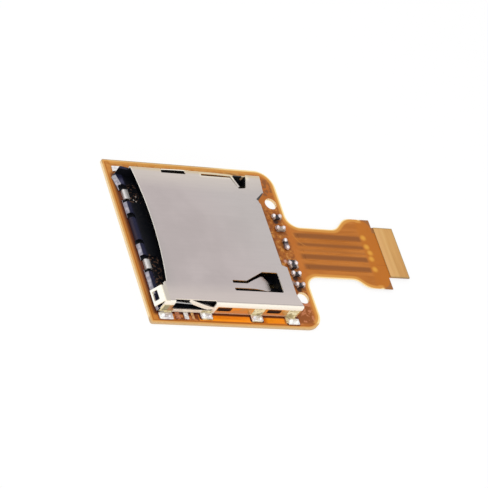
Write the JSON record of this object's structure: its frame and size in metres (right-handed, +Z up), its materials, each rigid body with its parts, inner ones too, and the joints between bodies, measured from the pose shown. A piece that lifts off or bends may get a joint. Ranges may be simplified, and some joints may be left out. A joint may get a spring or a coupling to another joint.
{
  "type": "sd card socket on a flexible circuit",
  "caption": "Push-in push-out memory card socket with a folded steel cover, soldered on an amber flexible circuit whose tail ends in a plug-in edge",
  "frame": {"origin": "in the underside of the board stiffener, below the middle of the socket cover", "axes": "+X is the way the card goes in, towards the tail; +Y is across the card, towards the side away from the slider; +Z is up, out of the socket's top"},
  "size_m": [0.056, 0.0329, 0.0035],
  "materials": {
    "cover_steel": "thin rolled stainless sheet, satin, slightly warm",
    "amber_film": "amber polyimide film over copper tracks",
    "stiffener_board": "tan backing sheet, matt",
    "black_moulding": "black moulded plastic, fine satin",
    "plated_contact": "gold plated spring metal",
    "spring_steel": "bright spring wire",
    "slider_moulding": "dark moulded plastic",
    "chip_ceramic": "dark ceramic body with tinned ends",
    "solder": "bright solder, uneven"
  },
  "bodies": {
    "socket": {"flex_circuit": "amber_film", "board_stiffener": "stiffener_board", "plug_stiffener": "stiffener_board", "base_housing": "black_moulding", "cover": "cover_steel", "contact_1": "plated_contact", "contact_2": "plated_contact", "contact_3": "plated_contact", "contact_4": "plated_contact", "contact_5": "plated_contact", "contact_6": "plated_contact", "contact_7": "plated_contact", "contact_8": "plated_contact", "contact_9": "plated_contact", "detect_switch_blade": "plated_contact", "protect_switch_blade": "plated_contact", "far_front_tab": "cover_steel", "near_front_tab": "cover_steel", "eject_spring": "spring_steel", "chip_1": "chip_ceramic", "chip_2": "chip_ceramic", "chip_3": "chip_ceramic", "chip_4": "chip_ceramic", "chip_5": "chip_ceramic", "chip_6": "chip_ceramic", "solder_1": "solder", "solder_2": "solder", "solder_3": "solder", "solder_4": "solder", "solder_5": "solder", "solder_6": "solder", "solder_7": "solder", "solder_8": "solder"},
    "slider": {"eject_slider": "slider_moulding"},
    "follower": {"cam_follower": "spring_steel"}
  },
  "joints": [
    {"name": "slider_travel", "type": "slide", "parent": "socket", "child": "slider", "axis": [1, 0, 0], "range_m": [0, 0.0044], "stiffness_N_per_m": 250, "springref_m": -0.0024, "deforming": ["eject_spring"]},
    {"name": "follower_swing", "type": "hinge", "parent": "socket", "child": "follower", "pos_m": [-0.0124, -0.0118, 0.00218], "axis": [0, -1, 0], "range_deg": [0, 7.1]}
  ]
}
